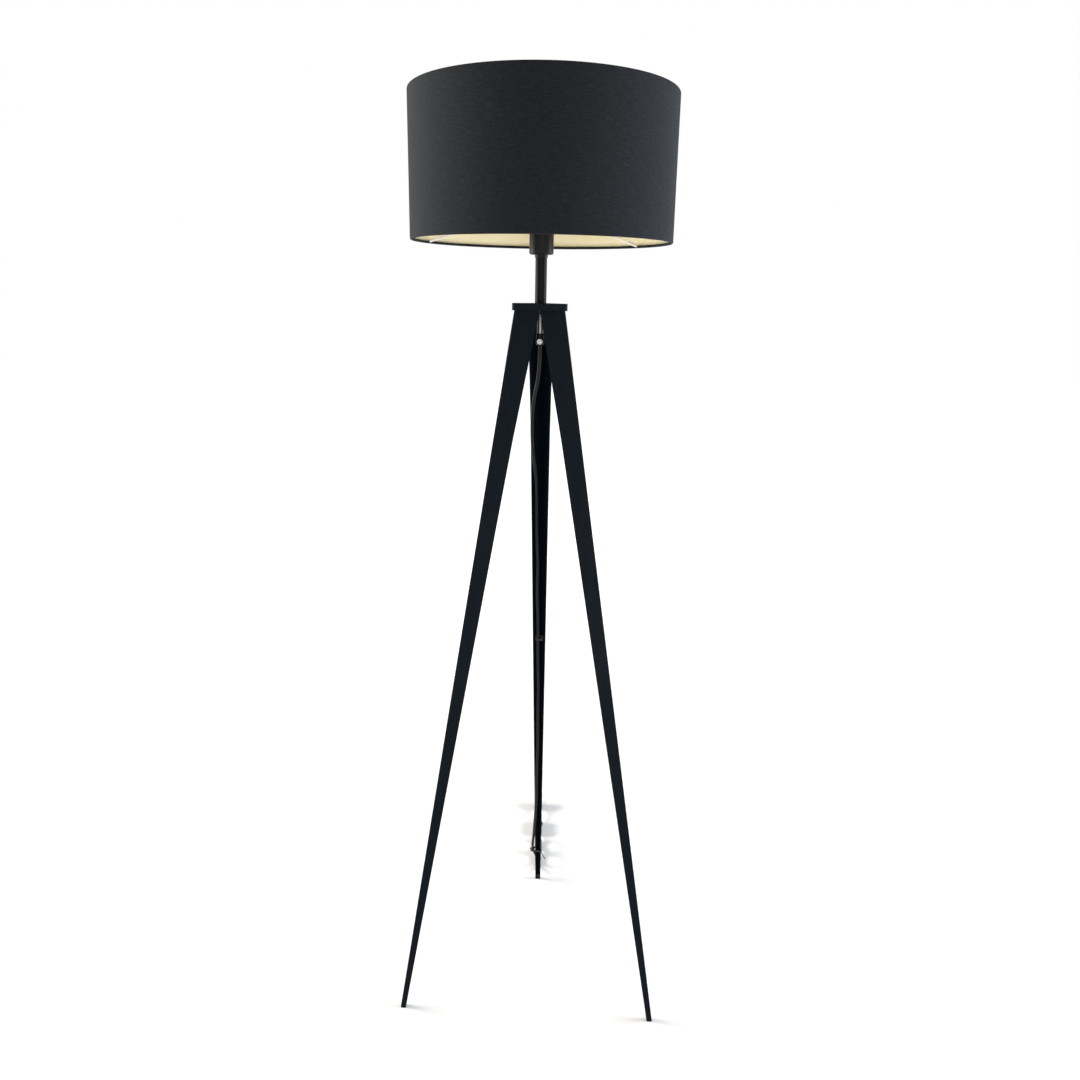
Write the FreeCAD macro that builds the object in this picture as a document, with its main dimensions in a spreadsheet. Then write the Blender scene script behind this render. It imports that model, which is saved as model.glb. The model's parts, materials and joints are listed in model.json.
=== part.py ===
import FreeCAD, Part

# Tripod floor lamp: three folded steel legs under a triangular plate, a short
# pole, a screw-in lampholder and a fabric drum shade, with its mains lead,
# in-line switch and plug. Millimetres, +Z up. The origin is on the floor,
# straight under the pole; the rear leg points along +Y.

import math
import os
import re

import Sketcher
from FreeCAD import Placement, Rotation, Vector

document = FreeCAD.newDocument("tripod_floor_lamp")

# ---------------------------------------------------------------- dimensions

DIMENSIONS = {
    # tripod
    "leg_height": 1221,
    "foot_reach": 262.5,
    "head_reach": 47.2,
    "foot_flange": 10.8,
    "knee_flange": 32.8,
    "knee_drop": 200,
    "leg_sheet": 1.5,
    "leg_gap": 0.6,
    "fold_radius": 1.8,
    "glide_base": 1,
    "glide_height": 11,
    "tab_inner_edge": 14,
    "plate_thickness": 11,
    "plate_overhang": 7.5,
    "plate_corner": 6,
    "plate_edge": 0.6,
    # fasteners under the plate
    "screw_reach": 27,
    "screw_radius": 2.5,
    "screw_bite": 7,
    "screw_head_radius": 4.25,
    "screw_head_height": 3,
    "screw_socket": 3,
    "washer_radius": 11,
    "washer_thickness": 1.5,
    "nut_flats": 14,
    "nut_height": 4,
    # pole and threaded tube
    "pole_radius": 9,
    "pole_wall": 1.5,
    "pole_length": 68,
    "tube_radius": 5,
    "tube_bore": 4,
    "tube_below": 43,
    "tube_above": 8,
    # cord grip at the lower end of the threaded tube
    "grip_radius": 6.5,
    "grip_height": 18,
    "grip_socket": 8,
    "grip_screw_radius": 1.5,
    "grip_screw_head": 4.25,
    "grip_screw_thick": 2.4,
    # lampholder
    "cap_radius": 18.75,
    "cap_wall": 2,
    "cap_height": 34,
    "cap_floor": 3,
    "neck_radius": 10,
    "neck_height": 4.5,
    "shell_radius": 20,
    "shell_wall": 2.3,
    "shell_height": 45,
    "shell_spigot": 8,
    "mouth_radius": 14.6,
    "lip_height": 3,
    "insert_height": 14,
    "insert_drop": 3,
    "socket_radius": 13.3,
    "socket_wall": 0.5,
    "socket_taper": 7,
    "socket_straight": 21,
    "contact_width": 5,
    "contact_rise": 3.5,
    "terminal_radius": 1.5,
    "terminal_reach": 10,
    "ring_nut_flange": 7,
    "ring_nut_height": 7,
    "ring_nut_wall": 2.4,
    # shade
    "fitter_seat": 16.5,
    "shade_height": 208,
    "shade_radius": 200.5,
    "fabric": 0.6,
    "lining": 0.5,
    "wire_radius": 1.3,
    "hem_height": 4,
    "fitter_rise": 45,
    "fitter_ring_play": 0.6,
    "fitter_ring_width": 7,
    "fitter_ring_thick": 2,
    "arm_radius": 1.6,
    "notch_radius": 2.6,
    # lead
    "cord_radius": 2.75,
    "core_radius": 1,
    "tie_width": 3.6,
    "tie_thickness": 1.2,
    "tie_mount_height": 12,
    "stow_turn": 2.65,
    "hank_front": 30,
    "hank_run": 58.2,
    "hank_fold": 19.9,
    "hank_width": 11.6,
    "hank_waist": 12,
    "hank_exit": 102,
    # in-line switch
    "switch_start": 149,
    "switch_length": 56,
    "switch_width": 24,
    "switch_depth": 13,
    "switch_wall": 1.8,
    "switch_round": 3,
    "rocker_length": 19,
    "rocker_width": 9,
    "rocker_tilt": 7,
    "rocker_play": 0.4,
    "contact_strip": 0.8,
    "contact_length": 7,
    "switch_pin_radius": 1,
    "case_screw_radius": 1.25,
    "case_screw_head": 2.2,
    "case_screw_head_height": 1.2,
    # plug
    "plug_start": 242,
    "relief_length": 14,
    "relief_wide": 5.2,
    "plug_taper": 12,
    "plug_neck": 7,
    "plug_round": 3,
    "plug_length": 32,
    "plug_width": 35,
    "plug_depth": 13.6,
    "pin_radius": 2,
    "pin_length": 19,
    "pin_spacing": 18.6,
    # fits
    "slip": 0.15,
    "thread_slip": 0.05,
}

sheet = document.addObject("Spreadsheet::Sheet", "sizes")
for row, (alias, value) in enumerate(DIMENSIONS.items(), 1):
    sheet.set(f"A{row}", alias)
    sheet.set(f"B{row}", str(value))
    sheet.setAlias(f"B{row}", alias)
document.recompute()

# Heights and radii that follow from the driving dimensions.
COS30 = "cos(30 deg)"
PLATE_TOP = "(leg_height + plate_thickness)"
POLE_TOP = f"({PLATE_TOP} + pole_length)"
TUBE_BOTTOM = "(leg_height - tube_below)"
GRIP_BOTTOM = f"({TUBE_BOTTOM} + grip_socket - grip_height)"
CAP_BASE = f"({POLE_TOP} + neck_height)"
CAP_TOP = f"({CAP_BASE} + cap_height)"
TUBE_TOP = f"({CAP_BASE} + cap_floor + tube_above)"
SHELL_TOP = f"({CAP_TOP} + shell_height)"
SHELL_BORE = "(shell_radius - shell_wall)"
INSERT_TOP = f"({CAP_TOP} - insert_drop + insert_height)"
FITTER_MIDDLE = f"({SHELL_TOP} - fitter_seat)"
SHADE_BOTTOM = f"({FITTER_MIDDLE} - fitter_rise)"
SHADE_TOP = f"({SHADE_BOTTOM} + shade_height)"
WIRE_REACH = "(shade_radius - fabric - slip - wire_radius)"
WIRE_LIFT = "(fabric + slip + wire_radius)"
TAB_BOTTOM = "(leg_height - leg_sheet)"


def number(text):
    """The value of a formula over the dimensions."""
    return float(sheet.evalExpression(text))


def formula(text):
    """The same formula as the rest of the document writes it."""
    return re.sub(r"[a-z][a-z_]*[a-z]", lambda m: name_in_sheet(m.group()), text)


def name_in_sheet(word):
    return f"sizes.{word}" if word in DIMENSIONS else word


def bind(target, path, text):
    target.setExpression(path, formula(text))


# ------------------------------------------------------------ shared builders

sub_parts = []


def finished(item, label):
    """Marks a document object as a sub-part of the lamp."""
    item.Label = label
    sub_parts.append(item)
    return item


def new_body(label):
    body = document.addObject("PartDesign::Body", f"{label}_body")
    return finished(body, label)


def origin_plane(body, role):
    return next(f for f in body.Origin.OriginFeatures if f.Role == role)


def sketch_in(body, role, lift=None):
    sketch = body.newObject("Sketcher::SketchObject", f"{body.Label}_sketch")
    sketch.AttachmentSupport = [(origin_plane(body, role), "")]
    sketch.MapMode = "FlatFace"
    if lift:
        bind(sketch, "AttachmentOffset.Base.z", lift)
    return sketch


def pin_point(sketch, geometry, corner, across, up):
    """Places a point of the sketch by two formulas."""
    for kind, text, axis in (("DistanceX", across, -2), ("DistanceY", up, -1)):
        if text == "0":
            sketch.addConstraint(Sketcher.Constraint("PointOnObject", geometry, corner, axis))
            continue
        distance = Sketcher.Constraint(kind, -1, 1, geometry, corner, number(text))
        index = sketch.addConstraint(distance)
        bind(sketch, f"Constraints[{index}]", text)


def draw_outline(sketch, corners):
    """A closed outline of straight lines through corners given as formulas."""
    points = [Vector(number(across), number(up), 0) for across, up in corners]
    first = sketch.GeometryCount
    for start, end in zip(points, points[1:] + points[:1]):
        sketch.addGeometry(Part.LineSegment(start, end))
    for index in range(len(points)):
        following = first + (index + 1) % len(points)
        sketch.addConstraint(Sketcher.Constraint("Coincident", first + index, 2, following, 1))
    for index, (across, up) in enumerate(corners):
        pin_point(sketch, first + index, 1, across, up)


def draw_circle(sketch, across, up, radius):
    centre = Vector(number(across), number(up), 0)
    index = sketch.addGeometry(Part.Circle(centre, Vector(0, 0, 1), number(radius)))
    pin_point(sketch, index, 3, across, up)
    size = sketch.addConstraint(Sketcher.Constraint("Radius", index, number(radius)))
    bind(sketch, f"Constraints[{size}]", radius)


def add_pad(body, sketch, length, midplane=False):
    pad = body.newObject("PartDesign::Pad", f"{body.Label}_pad")
    pad.Profile = sketch
    pad.Midplane = midplane
    bind(pad, "Length", length)
    return pad


def add_pocket(body, sketch, depth, reverse=False, midplane=False):
    """Cuts the sketch out of the body, and makes sure that something went."""
    document.recompute()
    before = body.Shape.Volume
    pocket = body.newObject("PartDesign::Pocket", f"{body.Label}_pocket")
    pocket.Profile = sketch
    pocket.Reversed = reverse
    pocket.Midplane = midplane
    bind(pocket, "Length", depth)
    document.recompute()
    if body.Shape.Volume > before - 0.01:
        raise RuntimeError(f"{body.Label}: the pocket cuts nothing")
    return pocket


def turned(label, profile):
    """A body of revolution about Z from an outline of (radius, height)."""
    body = new_body(label)
    sketch = sketch_in(body, "XZ_Plane")
    draw_outline(sketch, profile)
    revolution = body.newObject("PartDesign::Revolution", f"{label}_revolution")
    revolution.Profile = sketch
    revolution.ReferenceAxis = (sketch, ["V_Axis"])
    revolution.Angle = 360
    return body


def tube_profile(inner, outer, bottom, top):
    return [(inner, bottom), (outer, bottom), (outer, top), (inner, top)]


def add_fillet(body, radius, wanted):
    """Rounds the edges of the body that pass the test."""
    document.recompute()
    base = body.Tip
    names = [f"Edge{i}" for i, edge in enumerate(base.Shape.Edges, 1) if wanted(edge)]
    fillet = body.newObject("PartDesign::Fillet", f"{body.Label}_fillet")
    fillet.Base = (base, names)
    bind(fillet, "Radius", radius)
    document.recompute()
    return fillet


def upright(edge):
    ends = [vertex.Point for vertex in edge.Vertexes]
    return len(ends) == 2 and abs(ends[0].x - ends[1].x) + abs(ends[0].y - ends[1].y) < 1e-6


def level(edge):
    box = edge.BoundBox
    return box.ZLength < 1e-6


def add_shape(label, shape, placement=None):
    """A sub-part whose shape comes from Part's own functions."""
    item = finished(document.addObject("Part::Feature", label), label)
    item.Shape = shape
    if placement:
        item.Placement = placement.multiply(item.Placement)
    return item


def turned_copies(shape, turns):
    """Copies of a shape, each turned about the pole by its own angle."""
    copies = []
    for turn in turns:
        copy = shape.copy()
        copy.rotate(Vector(), Vector(0, 0, 1), turn)
        copies.append(copy)
    return Part.makeCompound(copies)


# ----------------------------------------------------------------------- legs

LEG_TURNS = {"rear": 0, "left": 120, "right": 240}


def ridge_reach(height):
    """Distance of the leg's sharp ridge from the pole's axis at a height."""
    return f"(foot_reach + (head_reach - foot_reach) * {height} / leg_height)"


HEAD_FLANGE = f"(head_reach * {COS30} - leg_gap / 2)"
KNEE = "(leg_height - knee_drop)"


def channel_section(name, height, flange):
    """The 60 degree channel, cut level: its ridge points along +Y."""
    sketch = document.addObject("Sketcher::SketchObject", name)
    bind(sketch, "Placement.Base.z", height)
    reach = ridge_reach(height)
    rim = f"({reach} - {flange} * {COS30})"
    inner_rim = f"({rim} - leg_sheet / 2)"
    inner_half = f"({flange} / 2 - leg_sheet * {COS30})"
    corners = [
        ("0", reach),
        (f"{flange} / 2", rim),
        (inner_half, inner_rim),
        ("0", f"({reach} - 2 * leg_sheet)"),
        (f"-{inner_half}", inner_rim),
        (f"-{flange} / 2", rim),
    ]
    draw_outline(sketch, corners)
    return sketch


def on_outer_ridge(edge):
    """Whether an edge of the leg lies along the outside of its fold."""
    middle = edge.CenterOfMass
    box = edge.BoundBox
    return (box.ZLength > 50 and box.XLength < 0.02
            and abs(middle.y - number(ridge_reach(str(middle.z)))) < 0.2)


def build_leg(side, turn):
    sections = [
        channel_section(f"{side}_sole", "glide_base", "foot_flange"),
        channel_section(f"{side}_knee", KNEE, "knee_flange"),
        channel_section(f"{side}_head", "leg_height", HEAD_FLANGE),
    ]
    loft = document.addObject("Part::Loft", f"{side}_channel")
    loft.Sections = sections
    loft.Solid = True
    loft.Ruled = True
    loft.Linearize = True
    # The top tab is folded in under the plate and takes one screw.
    tab_sketch = document.addObject("Sketcher::SketchObject", f"{side}_tab_outline")
    bind(tab_sketch, "Placement.Base.z", TAB_BOTTOM)
    tab_tip = "(head_reach - 1.5 * leg_sheet)"
    tab_half = f"(({tab_tip} - tab_inner_edge) * tan(30 deg))"
    draw_outline(tab_sketch, [("0", tab_tip), (f"-{tab_half}", "tab_inner_edge"),
                              (tab_half, "tab_inner_edge")])
    draw_circle(tab_sketch, "0", "screw_reach", "screw_radius + slip")
    tab = document.addObject("Part::Extrusion", f"{side}_tab")
    tab.Base = tab_sketch
    tab.Dir = Vector(0, 0, 1)
    tab.Solid = True
    bind(tab, "LengthFwd", "leg_sheet")
    joined = document.addObject("Part::Fuse", f"{side}_folded")
    joined.Base = loft
    joined.Tool = tab
    joined.Refine = True
    document.recompute()
    outer = [index for index, edge in enumerate(joined.Shape.Edges, 1) if on_outer_ridge(edge)]
    fillet = document.addObject("Part::Fillet", f"leg_{side}")
    fillet.Base = joined
    radius = number("fold_radius")
    fillet.Edges = [(index, radius, radius) for index in outer]
    fillet.Placement = Placement(Vector(), Rotation(Vector(0, 0, 1), turn))
    return finished(fillet, f"leg_{side}")


def triangle_section(name, height, inset, rim):
    """A level triangle inside the channel, inset from the ridge's outer planes."""
    sketch = document.addObject("Sketcher::SketchObject", name)
    bind(sketch, "Placement.Base.z", height)
    tip = f"({ridge_reach(height)} - 2 * ({inset}))"
    base = f"({ridge_reach(height)} - {rim})"
    half = f"(({tip} - {base}) * tan(30 deg))"
    draw_outline(sketch, [("0", tip), (f"-{half}", base), (half, base)])
    return sketch


def loft_between(name, lower, upper):
    loft = document.addObject("Part::Loft", name)
    loft.Sections = [lower, upper]
    loft.Solid = True
    loft.Ruled = True
    loft.Linearize = True
    return loft


def build_glide(side, turn):
    """A plastic foot: a thin tread under the channel and a plug inside it."""
    rim = f"(foot_flange * {COS30})"
    plug_rim = f"({rim} - leg_sheet)"
    clear = "leg_sheet + slip"
    tread = document.addObject("Part::Extrusion", f"{side}_tread")
    tread.Base = triangle_section(f"{side}_tread_outline", "glide_base", "0", rim)
    tread.Dir = Vector(0, 0, -1)
    tread.Solid = True
    bind(tread, "LengthFwd", "glide_base")
    top = "(glide_base + glide_height)"
    plug = loft_between(f"{side}_plug",
                        triangle_section(f"{side}_plug_low", "glide_base", clear, plug_rim),
                        triangle_section(f"{side}_plug_high", top, clear, plug_rim))
    joined = document.addObject("Part::Fuse", f"{side}_glide")
    joined.Base = tread
    joined.Tool = plug
    document.recompute()
    ridge = [index for index, edge in enumerate(joined.Shape.Edges, 1)
             if upright(edge) and abs(edge.Vertexes[0].Point.x) < 0.01]
    fillet = document.addObject("Part::Fillet", f"foot_glide_{side}")
    fillet.Base = joined
    radius = number("fold_radius")
    fillet.Edges = [(index, radius, radius) for index in ridge]
    fillet.Placement = Placement(Vector(), Rotation(Vector(0, 0, 1), turn))
    return finished(fillet, f"foot_glide_{side}")


for side, turn in LEG_TURNS.items():
    build_leg(side, turn)
    build_glide(side, turn)

# ------------------------------------------------- top plate and what holds it


def polar(radius, degrees):
    """Formulas for a point at a radius and an angle about the pole."""
    return f"({radius}) * cos({degrees} deg)", f"({radius}) * sin({degrees} deg)"


top_plate = new_body("top_plate")
PLATE_REACH = "(head_reach + plate_overhang)"
plate_sketch = sketch_in(top_plate, "XY_Plane", "leg_height")
draw_outline(plate_sketch, [("0", PLATE_REACH), polar(PLATE_REACH, 210), polar(PLATE_REACH, 330)])
draw_circle(plate_sketch, "0", "0", "tube_radius + slip")
add_pad(top_plate, plate_sketch, "plate_thickness")
add_fillet(top_plate, "plate_corner", upright)
screw_holes = sketch_in(top_plate, "XY_Plane", "leg_height")
draw_circle(screw_holes, "0", "screw_reach", "screw_radius + thread_slip")
for angle in (210, 330):
    draw_circle(screw_holes, *polar("screw_reach", angle), "screw_radius + thread_slip")
add_pocket(top_plate, screw_holes, "screw_bite + 1", reverse=True)
HOLE_AREA = number("screw_reach + 2 * screw_radius")


def on_plate_rim(edge):
    """The plate's outer edges, top and bottom: further out than the screw holes."""
    box = edge.BoundBox
    far = max(abs(box.XMin), abs(box.XMax), abs(box.YMin), abs(box.YMax))
    return level(edge) and (far > HOLE_AREA or edge.Length > HOLE_AREA)


add_fillet(top_plate, "plate_edge", on_plate_rim)


def socket_screw(label, radius, length, head_radius, head_height, socket):
    """A screw standing on its head's outer face, with a hexagon socket."""
    body = document.addObject("PartDesign::Body", label)
    body.Label = label
    sketch = sketch_in(body, "XZ_Plane")
    draw_outline(sketch, [("0", "0"), (head_radius, "0"), (head_radius, head_height),
                          (radius, head_height), (radius, f"{head_height} + {length}"),
                          ("0", f"{head_height} + {length}")])
    revolution = body.newObject("PartDesign::Revolution", f"{label}_revolution")
    revolution.Profile = sketch
    revolution.ReferenceAxis = (sketch, ["V_Axis"])
    revolution.Angle = 360
    hexagon = sketch_in(body, "XY_Plane")
    across = f"({socket} / 2 / {COS30})"
    draw_outline(hexagon, [polar(across, 30 + 60 * corner) for corner in range(6)])
    add_pocket(body, hexagon, f"{head_height} * 0.6", reverse=True)
    return body


leg_screw = socket_screw("leg_screw", "screw_radius", "leg_sheet + screw_bite",
                         "screw_head_radius", "screw_head_height", "screw_socket")
screw_at_rear = leg_screw.Shape.copy()
screw_at_rear.translate(Vector(0, number("screw_reach"),
                               number(f"{TAB_BOTTOM} - screw_head_height")))
add_shape("leg_screws", turned_copies(screw_at_rear, LEG_TURNS.values()))

turned("plate_washer", tube_profile("tube_radius + slip", "washer_radius",
                                    "leg_height - washer_thickness", "leg_height"))


def hexagon_nut(label, bottom, height):
    body = new_body(label)
    sketch = sketch_in(body, "XY_Plane", bottom)
    across = f"(nut_flats / 2 / {COS30})"
    draw_outline(sketch, [polar(across, 30 + 60 * corner) for corner in range(6)])
    draw_circle(sketch, "0", "0", "tube_radius + thread_slip")
    add_pad(body, sketch, height)
    return body


hexagon_nut("plate_nut", "leg_height - washer_thickness - nut_height", "nut_height")
hexagon_nut("holder_nut", f"{CAP_BASE} + cap_floor", "nut_height")

# ------------------------------------------------------ pole and threaded tube

turned("pole", tube_profile("pole_radius - pole_wall", "pole_radius", PLATE_TOP, POLE_TOP))
turned("threaded_tube", tube_profile("tube_bore", "tube_radius", TUBE_BOTTOM, TUBE_TOP))

# ------------------------------------------------------------------ cord grip

grip_bore = "cord_radius + slip"
grip_turned = turned("cord_grip_turned", [
    (grip_bore, GRIP_BOTTOM),
    ("grip_radius - 1.5", GRIP_BOTTOM),
    ("grip_radius", f"{GRIP_BOTTOM} + 2"),
    ("grip_radius", f"{GRIP_BOTTOM} + grip_height"),
    ("tube_radius + thread_slip", f"{GRIP_BOTTOM} + grip_height"),
    ("tube_radius + thread_slip", TUBE_BOTTOM),
    (grip_bore, TUBE_BOTTOM),
])
sub_parts.remove(grip_turned)
GRIP_SCREW_LIFT = f"({TUBE_BOTTOM} - 4.5)"
grip_hole = document.addObject("Part::Cylinder", "cord_grip_hole")
bind(grip_hole, "Radius", "grip_screw_radius + thread_slip")
bind(grip_hole, "Height", "grip_radius + 1")
grip_hole.Placement = Placement(Vector(0, 0, number(GRIP_SCREW_LIFT)),
                                Rotation(Vector(1, 0, 0), 90))
cord_grip = document.addObject("Part::Cut", "cord_grip")
cord_grip.Base = grip_turned
cord_grip.Tool = grip_hole
finished(cord_grip, "cord_grip")

grip_screw = turned("cord_grip_screw", [
    ("0", "cord_radius + slip"),
    ("grip_screw_radius", "cord_radius + slip"),
    ("grip_screw_radius", "grip_radius + thread_slip"),
    ("grip_screw_head", "grip_radius + thread_slip"),
    ("grip_screw_head", "grip_radius + thread_slip + grip_screw_thick"),
    ("grip_screw_head - 1.4", "grip_radius + thread_slip + grip_screw_thick"),
    ("grip_screw_head - 1.4", "grip_radius + thread_slip + grip_screw_thick - 1"),
    ("0", "grip_radius + thread_slip + grip_screw_thick - 1"),
])
grip_screw.Placement = Placement(Vector(0, 0, number(GRIP_SCREW_LIFT)),
                                 Rotation(Vector(1, 0, 0), 90))

# ----------------------------------------------------------------- lampholder

cap_bore = "tube_radius + thread_slip"
cap_inner = "cap_radius - cap_wall"
turned("lampholder_cap", [
    (cap_bore, POLE_TOP),
    ("neck_radius", POLE_TOP),
    ("neck_radius", f"{CAP_BASE} - 0.8"),
    ("cap_radius - 1.6", CAP_BASE),
    ("cap_radius", f"{CAP_BASE} + 1.6"),
    ("cap_radius", CAP_TOP),
    (cap_inner, CAP_TOP),
    (cap_inner, f"{CAP_BASE} + cap_floor"),
    (cap_bore, f"{CAP_BASE} + cap_floor"),
])
turned("lampholder_shell", [
    ("cap_radius - cap_wall - thread_slip - 1.4", f"{CAP_TOP} - shell_spigot"),
    ("cap_radius - cap_wall - thread_slip", f"{CAP_TOP} - shell_spigot"),
    ("cap_radius - cap_wall - thread_slip", CAP_TOP),
    ("shell_radius", CAP_TOP),
    ("shell_radius", SHELL_TOP),
    ("mouth_radius", SHELL_TOP),
    ("mouth_radius", f"{SHELL_TOP} - lip_height"),
    (SHELL_BORE, f"{SHELL_TOP} - lip_height"),
    (SHELL_BORE, f"{CAP_TOP} + 1.5"),
    ("cap_radius - cap_wall - thread_slip - 1.4", f"{CAP_TOP} + 1.5"),
])

insert_low = f"({CAP_TOP} + 1.5)"
insert_radius = f"{SHELL_BORE} - slip"
spigot_bore = "cap_radius - cap_wall - thread_slip - 1.4 - slip"
lampholder_insert = turned("lampholder_insert", [
    ("0", f"{CAP_TOP} - insert_drop"),
    (spigot_bore, f"{CAP_TOP} - insert_drop"),
    (spigot_bore, insert_low),
    (insert_radius, insert_low),
    (insert_radius, INSERT_TOP),
    ("0", INSERT_TOP),
])
terminal_holes = sketch_in(lampholder_insert, "XY_Plane", f"{CAP_TOP} - insert_drop")
for angle in (0, 180):
    hole_at = ("terminal_reach", "0") if angle == 0 else ("-terminal_reach", "0")
    draw_circle(terminal_holes, *hole_at, "terminal_radius + thread_slip")
add_pocket(lampholder_insert, terminal_holes, "insert_height - 3", reverse=True)

turned("screw_shell", [
    ("socket_radius - 5", INSERT_TOP),
    ("socket_radius - 5 + socket_wall", INSERT_TOP),
    ("socket_radius + socket_wall", f"{INSERT_TOP} + socket_taper"),
    ("socket_radius + socket_wall", f"{INSERT_TOP} + socket_taper + socket_straight"),
    ("socket_radius", f"{INSERT_TOP} + socket_taper + socket_straight"),
    ("socket_radius", f"{INSERT_TOP} + socket_taper"),
])

centre_contact = new_body("centre_contact")
contact_sketch = sketch_in(centre_contact, "XZ_Plane")
draw_outline(contact_sketch, [
    ("-6", INSERT_TOP),
    ("-2", INSERT_TOP),
    ("4", f"{INSERT_TOP} + contact_rise - 0.6"),
    ("4", f"{INSERT_TOP} + contact_rise"),
    ("-1", f"{INSERT_TOP} + contact_rise - 1.2"),
    ("-3", f"{INSERT_TOP} + 0.6"),
    ("-6", f"{INSERT_TOP} + 0.6"),
])
add_pad(centre_contact, contact_sketch, "contact_width", midplane=True)

terminal_screw = socket_screw("terminal_screw", "terminal_radius", "6", "2.6", "2", "2")
screw_pair = []
for side_sign in (1, -1):
    screw = terminal_screw.Shape.copy()
    screw.translate(Vector(side_sign * number("terminal_reach"), 0,
                           number(f"{CAP_TOP} - insert_drop - 2")))
    screw_pair.append(screw)
add_shape("terminal_screws", Part.makeCompound(screw_pair))


def ring_nut(label, seat, away):
    """A flanged ring nut on the shell: the flange bears on the fitter ring."""
    turned(label, [
        ("shell_radius + thread_slip", seat),
        ("shell_radius + ring_nut_flange", seat),
        ("shell_radius + ring_nut_flange", f"{seat} {away} ring_nut_wall"),
        ("shell_radius + ring_nut_wall", f"{seat} {away} ring_nut_wall"),
        ("shell_radius + ring_nut_wall", f"{seat} {away} ring_nut_height"),
        ("shell_radius + thread_slip", f"{seat} {away} ring_nut_height"),
    ])


ring_nut("ring_nut_lower", f"{FITTER_MIDDLE} - fitter_ring_thick / 2", "-")
ring_nut("ring_nut_upper", f"{FITTER_MIDDLE} + fitter_ring_thick / 2", "+")

# ---------------------------------------------------------------------- shade

ARM_TURNS = (40, 160, 280)
FITTER_REACH = "(shell_radius + fitter_ring_width)"


def wire_ring(label, height):
    ring = document.addObject("Part::Torus", label)
    bind(ring, "Radius1", WIRE_REACH)
    bind(ring, "Radius2", "wire_radius")
    bind(ring, "Placement.Base.z", height)
    return finished(ring, label)


wire_ring("shade_bottom_ring", f"{SHADE_BOTTOM} + {WIRE_LIFT}")
wire_ring("shade_top_ring", f"{SHADE_TOP} - {WIRE_LIFT}")

turned("fitter_ring", tube_profile(
    "shell_radius + fitter_ring_play", FITTER_REACH,
    f"{FITTER_MIDDLE} - fitter_ring_thick / 2", f"{FITTER_MIDDLE} + fitter_ring_thick / 2"))

ARM_END_LIFT = f"({WIRE_LIFT} + 1)"
arm_start = Vector(number(f"{FITTER_REACH} + slip"), 0, number(FITTER_MIDDLE))
arm_end = Vector(number(f"{WIRE_REACH} - wire_radius - slip"), 0,
                 number(f"{SHADE_BOTTOM} + {ARM_END_LIFT}"))
arm_line = arm_end - arm_start
arm = Part.makeCylinder(number("arm_radius"), arm_line.Length, arm_start, arm_line)
add_shape("fitter_arms", turned_copies(arm, ARM_TURNS))

# The fabric is rolled over both wire rings; its turned-in edge is the hem.
HEM_OUTER = f"({WIRE_REACH} - wire_radius - slip)"
HEM_INNER = f"({HEM_OUTER} - fabric)"
fabric_turned = turned("fabric_turned", [
    ("shade_radius", SHADE_BOTTOM),
    ("shade_radius", SHADE_TOP),
    (HEM_INNER, SHADE_TOP),
    (HEM_INNER, f"{SHADE_TOP} - hem_height"),
    (HEM_OUTER, f"{SHADE_TOP} - hem_height"),
    (HEM_OUTER, f"{SHADE_TOP} - fabric"),
    ("shade_radius - fabric", f"{SHADE_TOP} - fabric"),
    ("shade_radius - fabric", f"{SHADE_BOTTOM} + fabric"),
    (HEM_OUTER, f"{SHADE_BOTTOM} + fabric"),
    (HEM_OUTER, f"{SHADE_BOTTOM} + hem_height"),
    (HEM_INNER, f"{SHADE_BOTTOM} + hem_height"),
    (HEM_INNER, SHADE_BOTTOM),
])
sub_parts.remove(fabric_turned)
notch_length = number("3 * fabric")
notch = Part.makeCylinder(number("notch_radius"), notch_length,
                          Vector(number(f"{HEM_INNER} - fabric"), 0,
                                 number(f"{SHADE_BOTTOM} + fabric + notch_radius + 0.2")),
                          Vector(1, 0, 0))
hem_notches = document.addObject("Part::Feature", "hem_notches")
hem_notches.Shape = turned_copies(notch, ARM_TURNS)
shade_fabric = document.addObject("Part::Cut", "shade_fabric")
shade_fabric.Base = fabric_turned
shade_fabric.Tool = hem_notches
finished(shade_fabric, "shade_fabric")

LINING_GAP = f"({WIRE_LIFT} + wire_radius + slip)"
turned("shade_lining", tube_profile(
    "shade_radius - fabric - slip - lining", "shade_radius - fabric - slip",
    f"{SHADE_BOTTOM} + {LINING_GAP}", f"{SHADE_TOP} - {LINING_GAP}"))

# ----------------------------------------------------------------------- lead


bend_radii = []


def rounded_path(points):
    """Straight runs joined by tangent arcs, as large as the runs allow."""
    edges = []
    start = points[0]
    for before, corner, after in zip(points, points[1:], points[2:]):
        incoming = corner - before
        outgoing = after - corner
        turn = incoming.getAngle(outgoing)
        reach = 0.45 * min(incoming.Length, outgoing.Length)
        radius = reach / math.tan(turn / 2)
        bend_radii.append(round(radius))
        entry = corner - incoming.normalize() * reach
        leave = corner + outgoing.normalize() * reach
        inward = (entry - corner) + (leave - corner)
        inward.normalize()
        bulge = corner + inward * (radius / math.cos(turn / 2) - radius)
        edges.append(Part.LineSegment(start, entry).toShape())
        edges.append(Part.Arc(entry, bulge, leave).toShape())
        start = leave
    edges.append(Part.LineSegment(start, points[-1]).toShape())
    return Part.Wire(edges)


def round_tube(points, radius):
    """A round solid along the rounded path, with its volume checked."""
    path = rounded_path(points)
    heading = points[1] - points[0]
    section = Part.Wire([Part.makeCircle(radius, points[0], heading)])
    tube = path.makePipeShell([section], True, True)
    expected = math.pi * radius**2 * path.Length
    if abs(tube.Volume - expected) > 0.01 * expected:
        raise RuntimeError(f"tube volume {tube.Volume:.0f}, expected {expected:.0f}")
    return tube, path.Length


cord_radius = number("cord_radius")
grip_bottom = number(GRIP_BOTTOM)

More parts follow.
